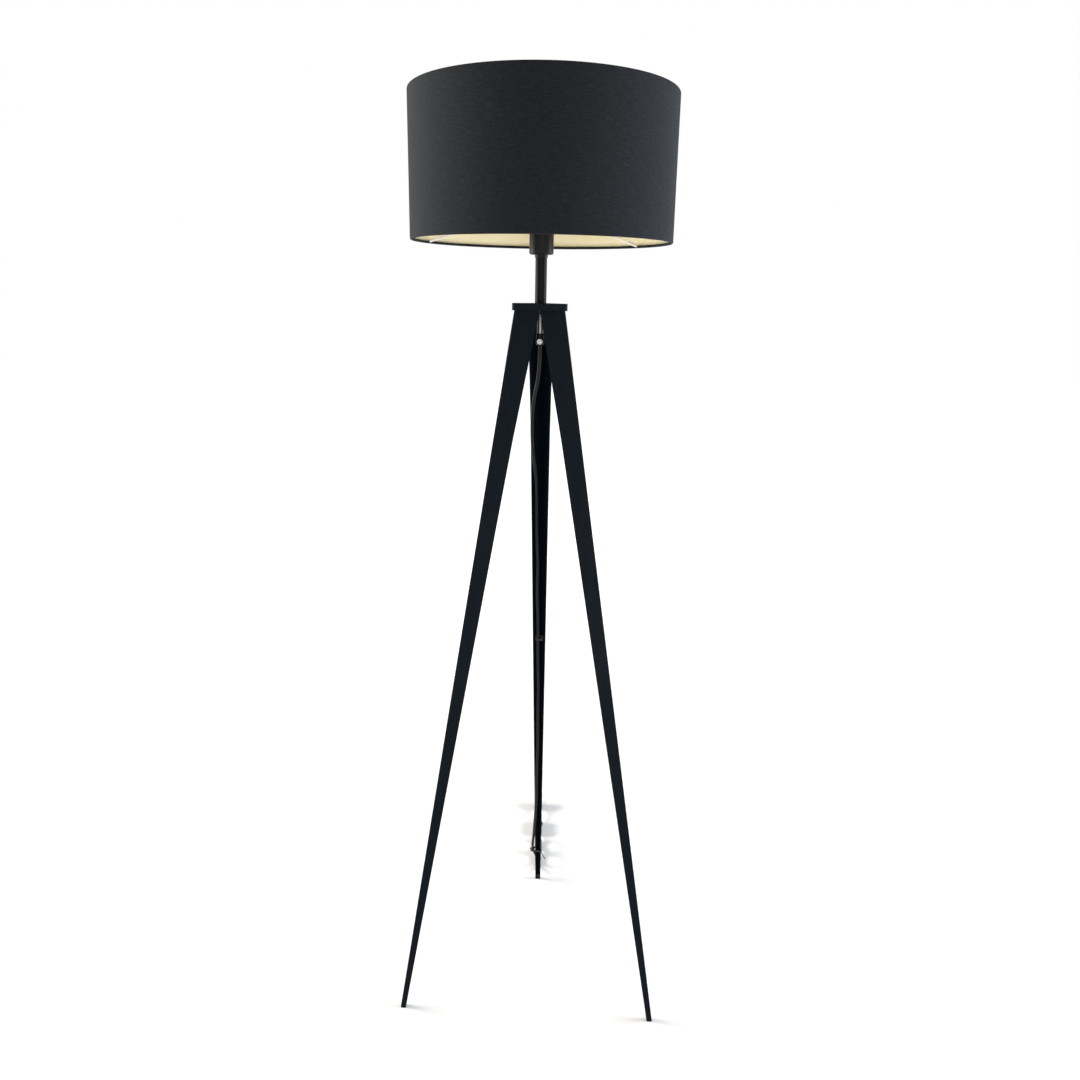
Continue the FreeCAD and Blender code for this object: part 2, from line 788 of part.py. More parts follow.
# Down from the grip, back to the rear leg, down in its channel, out past the
# left flange at the lower tie and behind the foot to the floor.
CORD_ROUTE = [
    (0, 0, grip_bottom),
    (0, 1, 1140),
    (-3, 10, 1112),
    (-10, 27, 1082),
    (-14, 42, 1040),
    (-13, 55, 990),
    (-7, 69.5, 945),
    (-6, 82, 890),
    (-5.5, 92.5, 828),
    (-3, 103, 775),
    (-4.5, 113.5, 712),
    (-2.2, 126, 655),
    (-2.4, 140, 577),
    (-1, 153, 515),
    (-2, 166, 445),
    (-1.2, 179, 375),
    (-3, 192, 308),
    (-3.5, 203, 240),
    (-6, 211, 180),
    (-9, 221.5, 130),
    (-12, 233, 98),
    (-10.5, 244, 78),
    (-5, 252, 62),
    (-1, 259, 43),
    (0.3, 269, 22),
    (0, 285, 7),
]

foot = Vector(0, number("foot_reach"), 0)
stow = Placement(foot, Rotation(Vector(0, 0, 1), number("stow_turn")))


def stowed(across, along, up):
    """A point of the put-away lead: along runs straight back from the foot."""
    return stow.multVec(Vector(across, along, up))


hank_half = number("hank_fold + cord_radius")
hank_middle = number("hank_front + hank_run / 2") + hank_half
hank_back = number("hank_front + hank_run") + 2 * hank_half

cord_points = [Vector(*point) for point in CORD_ROUTE]
cord_points.append(stowed(-0.6, 42, cord_radius))
cord_points.append(stowed(0.4, 60, cord_radius))
cord_tube, cord_length = round_tube(cord_points, cord_radius)
add_shape("cord", cord_tube)
print("cord radii", bend_radii, "length", round(cord_length))

inner_top = number(f"{TUBE_TOP} + 3")
add_shape("cord_inside", Part.makeCylinder(cord_radius, inner_top - grip_bottom,
                                           Vector(0, 0, grip_bottom)))

terminal_foot = number(f"{CAP_TOP} - insert_drop - 2")
core_pair = []
for side_sign in (1, -1):
    core_points = [
        Vector(side_sign * 1.3, 0, inner_top),
        Vector(side_sign * 1.5, 0, inner_top + 4),
        Vector(side_sign * 6, 0, inner_top + 10),
        Vector(side_sign * number("terminal_reach"), 0, terminal_foot),
    ]
    core_pair.append(round_tube(core_points, number("core_radius"))[0])
add_shape("cord_cores", Part.makeCompound(core_pair))


def across_axis():
    return stow.Rotation.multVec(Vector(1, 0, 0))


def stowed_arc(start, middle, end):
    return Part.Arc(*[stowed(0, along, up) for along, up in (start, middle, end)]).toShape()


hank_top = 2 * hank_half
front = number("hank_front")
front_turn = front + hank_half
back_turn = hank_back - hank_half
waist_low = hank_half - number("hank_waist")
waist_high = hank_half + number("hank_waist")
hank_outline = Part.Wire([
    stowed_arc((front_turn, 0), (front, hank_half), (front_turn, hank_top)),
    stowed_arc((front_turn, hank_top), (hank_middle, waist_high), (back_turn, hank_top)),
    stowed_arc((back_turn, hank_top), (hank_back, hank_half), (back_turn, 0)),
    stowed_arc((back_turn, 0), (hank_middle, waist_low), (front_turn, 0)),
])
hank_width = number("hank_width")
hank = Part.Face(hank_outline).extrude(across_axis() * hank_width)
hank.translate(across_axis() * (-hank_width / 2))
add_shape("cord_hank", hank)

tie_width = number("tie_width")
tie_thickness = number("tie_thickness")
half_high = number("hank_waist + 2 * slip")
half_wide = number("hank_width / 2 + slip")
lock_width = tie_width + 1


def square_band(centre, rotation, wide, high, width, thickness):
    """A flat strap round a bundle, with its lock block on one side."""
    outer = Part.makeBox(2 * (wide + thickness), width, 2 * (high + thickness),
                         Vector(-wide - thickness, -width / 2, -high - thickness))
    inner = Part.makeBox(2 * wide, width, 2 * high, Vector(-wide, -width / 2, -high))
    outer = outer.makeFillet(thickness, [e for e in outer.Edges if abs(e.tangentAt(0).y) > 0.9])
    lock_high = 2 * thickness
    lock = Part.makeBox(width, lock_width, lock_high,
                        Vector(-width / 2, -lock_width / 2, high + 0.8 * thickness))
    band = outer.cut(inner).fuse(lock).removeSplitter()
    band.Placement = Placement(centre, rotation)
    return band


add_shape("hank_tie", square_band(stowed(0, hank_middle, hank_half), stow.Rotation,
                                  half_wide, half_high, tie_width, tie_thickness))


def on_route(index, share):
    start, end = cord_points[index], cord_points[index + 1]
    return start + (end - start) * share, end - start


# Upper tie: a strap round the lead on a moulded wedge seated in the channel.
UPPER_RUN = 11
tie_point, tie_heading = on_route(UPPER_RUN, 0.5)
tie_turn = Rotation(Vector(0, 0, -1), tie_heading)
strap_inner = cord_radius + number("slip")
strap_outer = strap_inner + tie_thickness
strap = Part.makeCylinder(strap_outer, tie_width, Vector(0, 0, -tie_width / 2))
strap = strap.cut(Part.makeCylinder(strap_inner, tie_width, Vector(0, 0, -tie_width / 2)))
lock = Part.makeBox(tie_width, tie_width, lock_width,
                    Vector(strap_outer - tie_thickness / 3, -tie_width / 2, -lock_width / 2))
strap = strap.fuse(lock).removeSplitter()
strap.Placement = Placement(tie_point, tie_turn)
add_shape("cord_tie_upper", strap)

# The wedge's front face leans with the leg and stays clear of the strap.
document.recompute()
wedge_height = number("tie_mount_height")
wedge_front = tie_point.y + strap_outer + 0.75 * tie_thickness
wedge_sections = []
for lift in (-wedge_height / 2, wedge_height / 2):
    at = tie_point.z + lift
    slope_shift = -lift * (number("foot_reach") - number("head_reach")) / number("leg_height")
    tip = number(ridge_reach(str(at))) - 2 * number("leg_sheet + slip")
    base = wedge_front + slope_shift
    half = (tip - base) * math.tan(math.pi / 6)
    corners = [Vector(0, tip, at), Vector(-half, base, at), Vector(half, base, at)]
    wedge_sections.append(Part.Wire(Part.makePolygon(corners + corners[:1])))
add_shape("tie_mount", Part.makeLoft(wedge_sections, True, True))

# Lower tie: a strap round the leg's channel and the lead beside it.
LOWER_RUN = 20
lead_there, _ = on_route(LOWER_RUN, 0.75)
strap_lift = lead_there.z
ridge_there = number(ridge_reach(str(strap_lift)))
flange_there = number(f"foot_flange + (knee_flange - foot_flange) * {strap_lift} / {KNEE}")
rim_there = ridge_there - flange_there * math.cos(math.pi / 6)
strap_room = 0.75 * tie_thickness
lead_room = cord_radius + 2 * tie_thickness
strap_corners = [
    Vector(0, ridge_there + strap_room, 0),
    Vector(flange_there / 2 + strap_room, rim_there - strap_room, 0),
    Vector(-flange_there / 2, rim_there - 2 * strap_room, 0),
]
for angle in (250, 205, 160, 115):
    heading = Vector(math.cos(math.radians(angle)), math.sin(math.radians(angle)), 0)
    strap_corners.append(Vector(lead_there.x, lead_there.y, 0) + heading * lead_room)
strap_bottom = strap_lift - tie_width / 2
corners = [corner + Vector(0, 0, strap_bottom) for corner in strap_corners]
strap_inside = Part.Face(Part.Wire(Part.makePolygon(corners + corners[:1])))
strap_outside = strap_inside.makeOffset2D(tie_thickness)
lower_strap = strap_outside.cut(strap_inside).extrude(Vector(0, 0, tie_width))
# Its lock block sits on the right flange's rim, with the cut end hanging out.
lock_long, lock_deep, tail_length = 4, 3, 20
tail_width = 0.7 * tie_width
lock_corner = Vector(flange_there / 2 + 1 - lock_long,
                     rim_there - strap_room - tie_thickness / 2 - lock_deep,
                     strap_lift - lock_width / 2)
lock = Part.makeBox(lock_long, lock_deep, lock_width, lock_corner)
tail = Part.makeBox(tie_thickness - 0.2, tail_width, tail_length)
tail_foot = lock_corner + Vector(lock_long - 1, (lock_deep - tail_width) / 2, lock_width / 2)
tail.Placement = Placement(tail_foot, Rotation(Vector(0, 1, 0), 150))
lower_strap = lower_strap.fuse([lock, tail]).removeSplitter()
add_shape("cord_tie_lower", lower_strap)

# ------------------------------------------------------------- in-line switch
# The switch lies on its narrow side in line with the lead: its local X is
# across, Y along the lead and Z up.

switch_start = number("switch_start")
switch_centre_up = number("switch_width / 2")
switch_length = number("switch_length")
switch_place = Placement(stowed(0, switch_start, 0), stow.Rotation)


def switch_half(label, lower, upper):
    """One half of the case, hollow, open towards the other half."""
    body = new_body(label)
    sketch = sketch_in(body, "YZ_Plane", lower)
    draw_outline(sketch, [("0", "0"), ("switch_length", "0"),
                          ("switch_length", "switch_width"), ("0", "switch_width")])
    add_pad(body, sketch, f"({upper}) - ({lower})")
    add_fillet(body, "switch_round", lambda edge: abs(edge.tangentAt(0).x) > 0.9)
    return body


half_depth = "switch_depth / 2"
case_base = switch_half("switch_base", f"-{half_depth}", "0")
base_room = sketch_in(case_base, "YZ_Plane", "0")
ROOM = [("switch_wall", "switch_wall"), ("switch_length - switch_wall", "switch_wall"),
        ("switch_length - switch_wall", "switch_width - switch_wall"),
        ("switch_wall", "switch_width - switch_wall")]
draw_outline(base_room, ROOM)
add_pocket(case_base, base_room, f"{half_depth} - switch_wall")
case_cover = switch_half("switch_cover", "0", half_depth)
cover_room = sketch_in(case_cover, "YZ_Plane", "0")
draw_outline(cover_room, ROOM)
add_pocket(case_cover, cover_room, f"{half_depth} - switch_wall", reverse=True)
rocker_window = sketch_in(case_cover, "YZ_Plane", f"{half_depth} - switch_wall")
ROCKER_LOW = "(switch_width / 2 - rocker_width / 2 - rocker_play)"
ROCKER_HIGH = "(switch_width / 2 + rocker_width / 2 + rocker_play)"
ROCKER_NEAR = "(switch_length / 2 - rocker_length / 2 - 2 * rocker_play)"
ROCKER_FAR = "(switch_length / 2 + rocker_length / 2 + 2 * rocker_play)"
draw_outline(rocker_window, [(ROCKER_NEAR, ROCKER_LOW), (ROCKER_FAR, ROCKER_LOW),
                             (ROCKER_FAR, ROCKER_HIGH), (ROCKER_NEAR, ROCKER_HIGH)])
add_pocket(case_cover, rocker_window, "switch_wall", reverse=True)
SCREW_PLACES = [("switch_length / 8", "switch_width / 4"),
                ("switch_length * 7 / 8", "switch_width * 3 / 4")]
shank_holes = sketch_in(case_base, "YZ_Plane", f"-{half_depth}")
head_holes = sketch_in(case_base, "YZ_Plane", f"-{half_depth}")
thread_holes = sketch_in(case_cover, "YZ_Plane", f"{half_depth} - switch_wall")
for along, up in SCREW_PLACES:
    draw_circle(shank_holes, along, up, "case_screw_radius + slip")
    draw_circle(head_holes, along, up, "case_screw_head + slip")
    draw_circle(thread_holes, along, up, "case_screw_radius + thread_slip")
add_pocket(case_base, shank_holes, "switch_wall", reverse=True)
add_pocket(case_base, head_holes, "case_screw_head_height", reverse=True)
add_pocket(case_cover, thread_holes, "switch_wall / 2", reverse=True)
for half in (case_base, case_cover):
    half.Placement = switch_place

case_screw = socket_screw("case_screw", "case_screw_radius",
                          "switch_depth - case_screw_head_height - switch_wall / 2 - slip",
                          "case_screw_head", "case_screw_head_height", "case_screw_head")
case_screws = []
for along, up in SCREW_PLACES:
    screw = case_screw.Shape.copy()
    screw.rotate(Vector(), Vector(0, 1, 0), 90)
    screw.translate(Vector(number(f"-{half_depth}"), number(along), number(up)))
    case_screws.append(screw)
add_shape("switch_screws", Part.makeCompound(case_screws), switch_place)

# Two bent contact strips stand in the base, one towards each end of the rocker.
contacts = []
strip_thick = number("contact_strip")
strip_long = number("contact_length")
strip_high = number("switch_width / 3")
strip_deep = number(f"({half_depth} - switch_wall) * 3 / 4")
for share in (0.25, 0.62):
    strip_corner = Vector(number(f"switch_wall - {half_depth}"), switch_length * share,
                          switch_centre_up - strip_high / 2)
    ledge = Part.makeBox(strip_deep, strip_long, strip_thick, strip_corner)
    back_strip = Part.makeBox(strip_thick, strip_long, strip_high, strip_corner)
    contacts.append(ledge.fuse(back_strip).removeSplitter())
add_shape("switch_contacts", Part.makeCompound(contacts), switch_place)

# The rocker's outline round its pivot: a narrow heel inside the case, and a
# face that dips in the middle and stands out at both ends.
pivot_across = number(f"{half_depth} - switch_wall - switch_pin_radius - rocker_play")
pivot_along = switch_length / 2
rocker_half = number("rocker_length / 2")
rocker_up = number("rocker_width / 2")
heel_out, heel_half = -1.6, 3
edge_low, edge_high, dip = 2.6, 4.4, 3.4
rocker_face = Part.makePolygon([
    Vector(heel_out, -heel_half, 0), Vector(edge_low, -rocker_half, 0),
    Vector(edge_high, -rocker_half, 0), Vector(dip, 0, 0), Vector(edge_high, rocker_half, 0),
    Vector(edge_low, rocker_half, 0), Vector(heel_out, heel_half, 0),
    Vector(heel_out, -heel_half, 0)])
rocker = Part.Face(Part.Wire(rocker_face)).extrude(Vector(0, 0, 2 * rocker_up))
rocker.translate(Vector(0, 0, -rocker_up))
pin_radius = number("switch_pin_radius")
pin_hole = Part.makeCylinder(pin_radius + number("thread_slip"), 4 * rocker_up,
                             Vector(0, 0, -2 * rocker_up))
rocker = rocker.cut(pin_hole)
rocker.rotate(Vector(), Vector(0, 0, 1), -number("rocker_tilt"))
rocker.translate(Vector(pivot_across, pivot_along, switch_centre_up))
add_shape("switch_rocker", rocker, switch_place)
pin_half = number("switch_width / 2 - switch_wall - slip")
pivot_pin = Part.makeCylinder(pin_radius, 2 * pin_half,
                              Vector(pivot_across, pivot_along, switch_centre_up - pin_half))
add_shape("switch_pivot", pivot_pin, switch_place)

# ----------------------------------------------------------------------- plug

plug_start = number("plug_start")
plug_up = number("plug_width / 2")
plug_place = Placement(stowed(0, plug_start, 0), stow.Rotation)
relief_length = number("relief_length")
plug_end = number("relief_length + plug_length")
plug_half = number("plug_depth / 2")
relief = Part.makeCone(number("cord_radius + 1"), number("relief_wide"), relief_length,
                       Vector(0, 0, plug_up), Vector(0, 1, 0))
shoulder = number("relief_length + plug_taper")
neck_half = number("plug_neck")
plug_side = Part.makePolygon([
    Vector(0, relief_length, plug_up - neck_half), Vector(0, shoulder, 0),
    Vector(0, plug_end, 0), Vector(0, plug_end, 2 * plug_up),
    Vector(0, shoulder, 2 * plug_up), Vector(0, relief_length, plug_up + neck_half),
    Vector(0, relief_length, plug_up - neck_half)])
plug_block = Part.Face(Part.Wire(plug_side)).extrude(Vector(2 * plug_half, 0, 0))
plug_block.translate(Vector(-plug_half, 0, 0))
corner_edges = [edge for edge in plug_block.Edges
                if abs(edge.tangentAt(0).x) > 0.9 and edge.CenterOfMass.y > relief_length + 1]
plug_block = plug_block.makeFillet(number("plug_round"), corner_edges)
add_shape("plug_body", plug_block.fuse(relief).removeSplitter(), plug_place)
plug_pins = []
for side_sign in (1, -1):
    at = Vector(0, plug_end, plug_up + side_sign * number("pin_spacing") / 2)
    plug_pins.append(Part.makeCylinder(number("pin_radius"), number("pin_length"), at,
                                       Vector(0, 1, 0)))
add_shape("plug_pins", Part.makeCompound(plug_pins), plug_place)


def easy_step(start, low, end, high):
    """A lead that leaves level at one height and arrives level at another."""
    third = (end - start) * 0.27
    return [stowed(0, start, low), stowed(0, start + third, low),
            stowed(0, end - third, high), stowed(0, end, high)]


# Short lengths of lead from the hank to the switch and on to the plug. The one
# from the hank comes out on the floor, under the turns.
bend_radii.clear()
add_shape("cord_to_switch", round_tube(
    easy_step(number("hank_exit"), cord_radius, switch_start, switch_centre_up), cord_radius)[0])
add_shape("cord_to_plug", round_tube(
    easy_step(switch_start + switch_length, switch_centre_up, plug_start, plug_up),
    cord_radius)[0])
print("tail radii", bend_radii)

# --------------------------------------------------------------- check, write

document.recompute()
for item in document.Objects:
    if "Invalid" in item.State or "Error" in item.State:
        raise RuntimeError(f"{item.Label}: {item.State}")
for item in sub_parts:
    if item.Shape.isNull() or not item.Shape.isValid() or item.Shape.Volume <= 0:
        raise RuntimeError(f"{item.Label} has no valid shape")

os.makedirs("parts", exist_ok=True)
for item in sub_parts:
    item.Shape.exportStep(f"parts/{item.Label}.step")
    print(item.Label, len(item.Shape.Solids), round(item.Shape.Volume))
print(len(sub_parts), "sub-parts")
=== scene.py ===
import json
import math

import bmesh
import bpy
from mathutils import Matrix, Vector, noise


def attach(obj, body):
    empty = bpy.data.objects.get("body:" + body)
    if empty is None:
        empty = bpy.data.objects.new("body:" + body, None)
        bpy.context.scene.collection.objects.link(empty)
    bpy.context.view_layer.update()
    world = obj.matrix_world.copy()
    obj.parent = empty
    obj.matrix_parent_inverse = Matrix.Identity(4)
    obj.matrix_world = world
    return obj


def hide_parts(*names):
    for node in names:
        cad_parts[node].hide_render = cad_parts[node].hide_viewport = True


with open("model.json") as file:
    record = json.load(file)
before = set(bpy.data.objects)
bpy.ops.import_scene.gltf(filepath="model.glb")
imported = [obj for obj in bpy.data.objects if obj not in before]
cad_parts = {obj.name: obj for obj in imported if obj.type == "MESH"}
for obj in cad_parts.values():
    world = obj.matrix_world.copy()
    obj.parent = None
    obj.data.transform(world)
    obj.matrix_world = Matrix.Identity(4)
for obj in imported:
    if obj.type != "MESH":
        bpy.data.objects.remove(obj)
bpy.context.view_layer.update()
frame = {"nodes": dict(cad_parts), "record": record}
nodes = frame["nodes"]

# ------------------------------------------------------------------- camera

HEADING = math.radians(-2.929)  # from +Y, towards +X
PITCH = math.radians(15.5)  # downwards
ROLL = math.radians(-0.962)
EYE = (0.07849, -1.43076, 1.24498)
SENSOR_WIDTH = 36
FOCAL_LENGTH = 29.49
FAR_CLIP = 50


def aim_camera():
    forward = Vector((math.sin(HEADING) * math.cos(PITCH),
                      math.cos(HEADING) * math.cos(PITCH), -math.sin(PITCH)))
    level = Vector((math.cos(HEADING), -math.sin(HEADING), 0))
    down = forward.cross(level)
    right = level * math.cos(ROLL) + down * math.sin(ROLL)
    down = down * math.cos(ROLL) - level * math.sin(ROLL)
    camera = bpy.data.objects.new("camera", bpy.data.cameras.new("camera"))
    bpy.context.scene.collection.objects.link(camera)
    camera.data.sensor_width = SENSOR_WIDTH
    camera.data.lens = FOCAL_LENGTH
    camera.data.clip_end = FAR_CLIP
    turn = Matrix((right, -down, -forward)).transposed()
    camera.matrix_world = Matrix.Translation(EYE) @ turn.to_4x4()
    bpy.context.scene.camera = camera


aim_camera()

# -------------------------------------------------------------------- cords
# The lead's points are those of its route in the CAD source, in metres. The
# stowed part lies behind the rear foot: across, along and up from there.

STOW_TURN = math.radians(2.65)
FOOT = Vector((0, 0.2625, 0))


def stowed(across, along, up):
    return FOOT + Matrix.Rotation(STOW_TURN, 3, "Z") @ Vector((across, along, up)) / 1000


def put(*point):
    return Vector(point) / 1000


CORD_DIAMETER = 0.0055
CORD_STEPS = 10
CORD_ROUNDNESS = 5

route = [
    put(0, 0, 1168), put(0, 1, 1140), put(-3, 10, 1112), put(-10, 27, 1082),
    put(-14, 42, 1040), put(-13, 55, 990), put(-7, 69.5, 945), put(-6, 82, 890),
    put(-5.5, 92.5, 828), put(-3, 103, 775), put(-4.5, 113.5, 712), put(-2.2, 126, 655),
    put(-2.4, 140, 577), put(-1, 153, 515), put(-2, 166, 445), put(-1.2, 179, 375),
    put(-3, 192, 308), put(-3.5, 203, 240), put(-6, 211, 180), put(-9, 221.5, 130),
    put(-12, 233, 98), put(-10.5, 244, 78), put(-5, 252, 62), put(-1, 259, 43),
    put(0.3, 269, 22), put(0, 285, 7), stowed(-0.6, 42, 2.75), stowed(0.4, 60, 2.75),
]

# The hank, in millimetres: two flat loops in the upright plane, side by side,
# and one more lower run. Each fold is a half circle.
FOLD_RADIUS = 17.4
FOLD_MIDDLE = 25.15
FRONT_FOLD = 50.15
BACK_FOLD = 113.35
FOLD_CORNERS = 5
COLUMN = 2.9


def fold(across, centre, way):
    """Corners round a half circle: way 1 turns up at the back, -1 down at the front."""
    step = math.pi / FOLD_CORNERS
    reach = FOLD_RADIUS / math.cos(step / 2) * way
    angles = [-math.pi / 2 + (k + 0.5) * step for k in range(FOLD_CORNERS)]
    return [stowed(across, centre + reach * math.cos(a), FOLD_MIDDLE + reach * math.sin(a))
            for a in angles]


def top_run(across):
    return [stowed(across, 103, 42), stowed(across, 89, 29.4),
            stowed(across, 74.5, 29.4), stowed(across, 60.5, 42)]


route += [stowed(-0.6, 70, 3.2), stowed(-2.7, 79, 11.6), stowed(-2.9, 88, 11.8),
          stowed(-2.9, 100, 8.2)]
route += fold(-COLUMN, BACK_FOLD, 1) + top_run(-COLUMN) + fold(-COLUMN, FRONT_FOLD, -1)
route += [stowed(-2.8, 66, 8.6), stowed(-0.8, 78, 17), stowed(0.8, 86, 17),
          stowed(2.6, 100, 9)]
route += fold(COLUMN, BACK_FOLD, 1) + top_run(COLUMN) + fold(COLUMN, FRONT_FOLD, -1)
route += [stowed(2.9, 66, 8.2), stowed(2.9, 77, 11.8), stowed(2.9, 86, 11.4),
          stowed(1.4, 94, 5.6), stowed(0.1, 104, 2.8)]
route += [stowed(0, 114.69, 2.75), stowed(0, 136.31, 12), stowed(0, 149, 12)]

link_route = [stowed(0, 205, 12), stowed(0, 214.99, 12), stowed(0, 232.01, 17.5),
              stowed(0, 242, 17.5)]


def cord_piece(name, points):
    data = bpy.data.curves.new(name, "CURVE")
    data.dimensions = "3D"
    data.resolution_u = CORD_STEPS
    data.bevel_depth = CORD_DIAMETER / 2
    data.bevel_resolution = CORD_ROUNDNESS
    data.use_fill_caps = True
    spline = data.splines.new("NURBS")
    spline.points.add(len(points) - 1)
    for slot, point in zip(spline.points, points):
        slot.co = (*point, 1)
    spline.order_u = 3
    spline.use_endpoint_u = True
    piece = bpy.data.objects.new(name, data)
    bpy.context.scene.collection.objects.link(piece)
    return piece


lead = cord_piece("lead", route)
link = cord_piece("lead_to_plug", link_route)
for piece in (lead, link):
    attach(piece, "lamp")
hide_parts("cord", "cord_hank", "cord_to_switch")
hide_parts("cord_to_plug")

# --------------------------------------------------------------- shade cloth
# One sheet, turned in over both wire rings, its ends lapped at the back. The
# UV map is in metres along the cloth and up it.

RING_REACH = 0.19845
RING_LOW = 1.32405
RING_HIGH = 1.52795
TURN_RADIUS = 0.00175
HEM_END = 0.004
HEM_FOOT = 0.001
CLOTH_THICKNESS = 0.0006
LINER_THICKNESS = 0.0005
LINER_REACH = 0.1995
LINER_LOW = 1.3255
LINER_HIGH = 1.5265
SEAM_AT = math.radians(90)
LAP = math.radians(2.9)
LAP_RAMP = 0.02  # radians over which a lapped end steps over the other
CLOTH_LAP_RISE = 0.00065
LINER_LAP_RISE = -0.00055  # inwards
WAVINESS = 0.00012
COLUMNS = 480
HEM_STEPS = 8
CLOTH_ROWS = 24
LINER_ROWS = 16
ARM_AZIMUTHS = (40, 160, 280)
NOTCH_HALF_ANGLE = 0.76  # degrees
NOTCH_ROWS = 2


def arc(middle, start, end, steps):
    return [(RING_REACH + TURN_RADIUS * math.cos(a), middle + TURN_RADIUS * math.sin(a))
            for a in (start + (end - start) * k / steps for k in range(steps + 1))]


def wall(reach, low, high, steps):
    return [(reach, low + (high - low) * k / steps) for k in range(steps + 1)]


def drum(name, profile, lap_rise, notched=()):
    """A sheet swept round the pole from an outline of (radius, height). The
    lowest rows are left out where an arm of the wire frame passes."""
    mesh = bpy.data.meshes.new(name)
    build = bmesh.new()
    uv = build.loops.layers.uv.new("cloth")
    total = 2 * math.pi + LAP
    count = round(COLUMNS * total / (2 * math.pi))
    lengths = [0.0]
    for (r0, z0), (r1, z1) in zip(profile, profile[1:]):
        lengths.append(lengths[-1] + math.hypot(r1 - r0, z1 - z0))
    grid = []
    for column in range(count + 1):
        turn = total * column / count
        angle = SEAM_AT + turn
        over = min(max((turn - 2 * math.pi + LAP_RAMP) / LAP_RAMP, 0), 1)
        rise = lap_rise * over * over * (3 - 2 * over)
        line = []
        for radius, height in profile:
            wave = noise.noise(Vector((math.cos(angle) * 3, math.sin(angle) * 3, height * 9)))
            reach = radius + rise + WAVINESS * wave
            spot = (reach * math.cos(angle), reach * math.sin(angle), height)
            line.append(build.verts.new(spot))
        grid.append((turn, line))
    for (turn, line), (next_turn, next_line) in zip(grid, grid[1:]):
        middle = math.degrees(SEAM_AT + (turn + next_turn) / 2) % 360
        cut = any(abs(middle - azimuth) < NOTCH_HALF_ANGLE for azimuth in notched)
        for k in range(len(line) - 1):
            if cut and k < NOTCH_ROWS:
                continue
            face = build.faces.new((line[k], next_line[k], next_line[k + 1], line[k + 1]))
            face.smooth = True
            spots = ((turn, k), (next_turn, k), (next_turn, k + 1), (turn, k + 1))
            for loop, (at, row) in zip(face.loops, spots):
                loop[uv].uv = (at * RING_REACH, lengths[row])
    build.to_mesh(mesh)
    build.free()
    piece = bpy.data.objects.new(name, mesh)
    bpy.context.scene.collection.objects.link(piece)
    return piece


def thicken(piece, thickness):
    solid = piece.modifiers.new("thickness", "SOLIDIFY")
    solid.thickness = thickness
    solid.offset = 0
    return piece


outer_reach = RING_REACH + TURN_RADIUS
hem_reach = RING_REACH - TURN_RADIUS
cloth_profile = (
    [(hem_reach, RING_LOW - TURN_RADIUS + HEM_END - CLOTH_THICKNESS / 2),
     (hem_reach, RING_LOW + HEM_FOOT)]
    + arc(RING_LOW, math.pi, 2 * math.pi, HEM_STEPS)
    + wall(outer_reach, RING_LOW, RING_HIGH, CLOTH_ROWS)[1:-1]
    + arc(RING_HIGH, 0, math.pi, HEM_STEPS)
    + [(hem_reach, RING_HIGH + TURN_RADIUS - HEM_END + CLOTH_THICKNESS / 2)])
liner_profile = wall(LINER_REACH, LINER_LOW, LINER_HIGH, LINER_ROWS)
cloth = thicken(drum("shade_cloth", cloth_profile, CLOTH_LAP_RISE, ARM_AZIMUTHS), CLOTH_THICKNESS)
liner = thicken(drum("shade_liner", liner_profile, LINER_LAP_RISE), LINER_THICKNESS)
for piece, node in ((cloth, "shade_fabric"), (liner, "shade_lining")):
    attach(piece, "lamp")
    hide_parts(node)

# ----------------------------------------------------------------- materials


